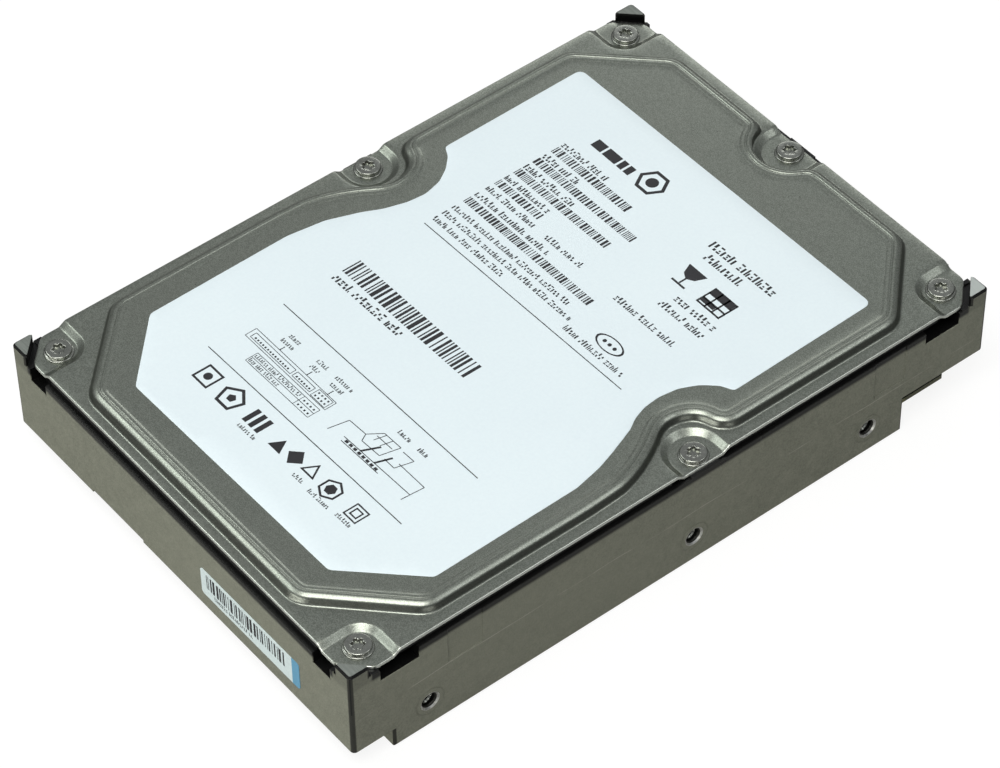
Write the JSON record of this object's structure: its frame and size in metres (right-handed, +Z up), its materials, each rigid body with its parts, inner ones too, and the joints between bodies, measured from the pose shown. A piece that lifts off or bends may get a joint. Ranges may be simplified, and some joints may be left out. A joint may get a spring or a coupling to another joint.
{
  "type": "hard disk drive",
  "caption": "Flat 3.5 inch magnetic disk drive: dark cast base, stamped metal cover with a raised bead and paper label, spinning disc pack, swinging head arm and rear plug.",
  "frame": {"origin": "centre of the bounding box's bottom", "axes": "+X across the width towards the right flank, +Y along the length towards the connector end, +Z up out of the cover"},
  "size_m": [0.1016, 0.147, 0.0261],
  "materials": {
    "casting": "dark coated die-cast aluminium, soft sheen",
    "cover": "satin stamped sheet with fine grain",
    "gasket": "matt black foam",
    "screw": "bright zinc plated",
    "paper": "coated white label",
    "sticker": "white sticker with a blue end",
    "aluminium": "machined aluminium",
    "steel": "turned steel",
    "nickel": "nickel plated",
    "disc": "polished disc",
    "copper": "enamelled copper winding",
    "laminate": "electrical steel laminations",
    "magnet": "sintered magnet",
    "black_plastic": "glass filled black plastic",
    "amber_film": "amber polyimide film",
    "rubber": "black rubber",
    "white_filter": "white filter felt",
    "board": "green solder mask",
    "chip": "moulded package",
    "gold": "gold plated contact",
    "ceramic": "ceramic capacitor",
    "foam": "dark foam sheet",
    "slider": "ceramic slider"
  },
  "bodies": {
    "base": {"base_casting": "casting", "top_cover": "cover", "cover_gasket": "gasket", "cover_screws": "screw", "top_label": "paper", "front_sticker": "sticker", "motor_bracket": "aluminium", "motor_screws": "screw", "bearing_sleeve": "steel", "stator_core": "laminate", "stator_coils": "copper", "pivot_post": "steel", "lower_yoke": "nickel", "upper_yoke": "nickel", "lower_magnet": "nickel", "upper_magnet": "nickel", "yoke_standoffs": "steel", "yoke_screws": "screw", "crash_stop_pins": "steel", "crash_stops": "rubber", "latch_magnet": "magnet", "flex_bracket": "steel", "bracket_screws": "screw", "feed_connector": "black_plastic", "feed_pins": "gold", "recirculation_filter": "white_filter", "breather_filter": "white_filter", "circuit_board": "board", "board_screws": "screw", "controller_chip": "chip", "memory_chip": "chip", "motor_driver_chip": "chip", "board_crystal": "nickel", "board_capacitors": "ceramic", "board_foam": "foam", "motor_contacts": "gold", "data_power_connector": "black_plastic", "connector_contacts": "gold", "jumper_header": "black_plastic", "jumper_pins": "gold"},
    "rotor": {"spindle_hub": "aluminium", "spindle_shaft": "steel", "rotor_yoke": "steel", "rotor_magnet": "magnet", "platter_lower": "disc", "platter_spacer": "aluminium", "platter_upper": "disc", "disk_clamp": "nickel", "clamp_screws": "screw"},
    "actuator": {"actuator_block": "aluminium", "pivot_sleeve": "steel", "voice_coil": "copper", "coil_frame": "black_plastic", "latch_tab": "steel", "head_suspensions": "nickel", "head_sliders": "slider", "flex_anchor": "amber_film", "head_preamp": "chip", "flex_loop": "amber_film"}
  },
  "joints": [
    {"name": "spindle_spin", "type": "hinge", "parent": "base", "child": "rotor", "pos_m": [0, -0.0229, 0.015], "axis": [0, 0, 1], "continuous": true},
    {"name": "actuator_swing", "type": "hinge", "parent": "base", "child": "actuator", "pos_m": [-0.0275, 0.0285, 0.0155], "axis": [0, 0, -1], "range_deg": [0, 29.5], "deforming": ["flex_loop"]}
  ]
}
